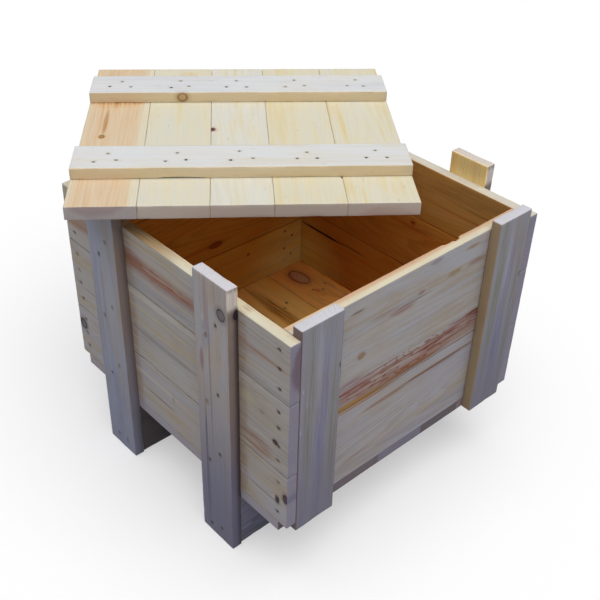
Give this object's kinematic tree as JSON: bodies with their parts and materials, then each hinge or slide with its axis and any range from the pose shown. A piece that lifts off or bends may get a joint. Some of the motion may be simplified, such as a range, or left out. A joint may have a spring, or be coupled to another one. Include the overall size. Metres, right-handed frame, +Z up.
{
  "type": "wooden packing box",
  "caption": "Nailed pine packing box with plank walls, corner posts and end cleats on two skids, and a loose battened lid laid askew on top.",
  "frame": {"origin": "On the ground plane under the middle of the box body: the middle of the floor's length and of the width over the side walls.", "axes": "+X along the boards of the floor and of the side walls, towards the right end; +Y from the front wall to the back wall; +Z up. The two skids run along Y."},
  "size_m": [0.7748, 0.7044, 0.538],
  "materials": {
    "fresh_pine": "pale planed pine, unfinished, on the lid",
    "wall_pine": "planed pine, unfinished, slightly greyed, with red-brown heartwood streaks",
    "floor_pine": "planed pine, warm and amber inside the box",
    "weathered_pine": "planed pine, unfinished, on the posts, cleats and skids",
    "nail_steel": "plain round wire nails with flat heads, dulled"
  },
  "bodies": {
    "box": {"skid_left": "weathered_pine", "skid_right": "weathered_pine", "floor_board_1": "floor_pine", "floor_board_2": "floor_pine", "floor_board_3": "floor_pine", "floor_board_4": "floor_pine", "floor_board_5": "floor_pine", "front_board_low": "wall_pine", "front_board_mid": "wall_pine", "front_board_top": "wall_pine", "back_board_low": "wall_pine", "back_board_mid": "wall_pine", "back_board_top": "wall_pine", "left_board_low": "wall_pine", "left_board_mid": "wall_pine", "left_board_top": "wall_pine", "right_board_low": "wall_pine", "right_board_top": "wall_pine", "cleat_left_front": "weathered_pine", "cleat_left_back": "weathered_pine", "cleat_right_front": "weathered_pine", "cleat_right_back": "weathered_pine", "post_front_left": "weathered_pine", "post_front_right": "weathered_pine", "post_back_left": "weathered_pine", "post_back_right": "weathered_pine", "floor_nails": "nail_steel", "corner_nails": "nail_steel", "cleat_nails": "nail_steel", "post_nails": "nail_steel", "skid_nails": "nail_steel"},
    "lid": {"lid_board_1": "fresh_pine", "lid_board_2": "fresh_pine", "lid_board_3": "fresh_pine", "lid_board_4": "fresh_pine", "lid_board_5": "fresh_pine", "lid_batten_left": "fresh_pine", "lid_batten_right": "fresh_pine", "lid_nails": "nail_steel"}
  },
  "joints": [
    {"name": "lid_lift", "type": "slide", "parent": "box", "child": "lid", "axis": [0, 0, 1], "range_m": [0, 0.35]}
  ]
}
